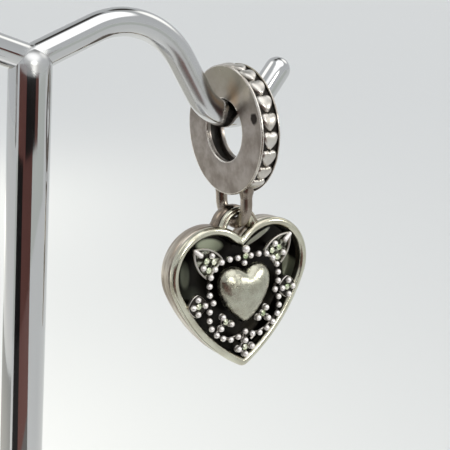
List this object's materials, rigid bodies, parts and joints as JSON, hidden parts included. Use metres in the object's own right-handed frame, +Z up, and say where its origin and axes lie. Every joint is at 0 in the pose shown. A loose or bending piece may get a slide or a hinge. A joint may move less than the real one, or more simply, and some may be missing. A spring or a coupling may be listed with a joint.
{
  "type": "dangle charm on display stand",
  "caption": "Silver dangle charm: a ring bail with a heart-trimmed rim and a swinging beaded heart pendant, hung on the hook of a plain wire display stand.",
  "frame": {"origin": "centre of the underside of the stand's round foot", "axes": "+Z up; the stand's two arms lie along X and the charm hangs on the +X arm; the carrier ring's bore runs along X; the pendant's front faces -Y"},
  "size_m": [0.047, 0.036, 0.0579],
  "materials": {
    "stand_chrome": "polished chrome plate on steel",
    "oxidised_silver": "satin sterling silver with dark oxidised recesses",
    "polished_silver": "worn bright sterling silver",
    "clear_stone": "clear round stones"
  },
  "bodies": {
    "root": {"stand_foot": "stand_chrome", "stand_frame": "stand_chrome", "carrier_ring": "oxidised_silver", "rim_hearts": "polished_silver"},
    "pendant": {"heart_case": "oxidised_silver", "bead_garland": "polished_silver", "centre_heart": "polished_silver", "clear_stones": "clear_stone"}
  },
  "joints": [
    {"name": "pendant_swing", "type": "hinge", "parent": "root", "child": "pendant", "pos_m": [0.0222, 0, 0.04028], "axis": [0, 1, 0], "range_deg": [-50, 50]}
  ]
}
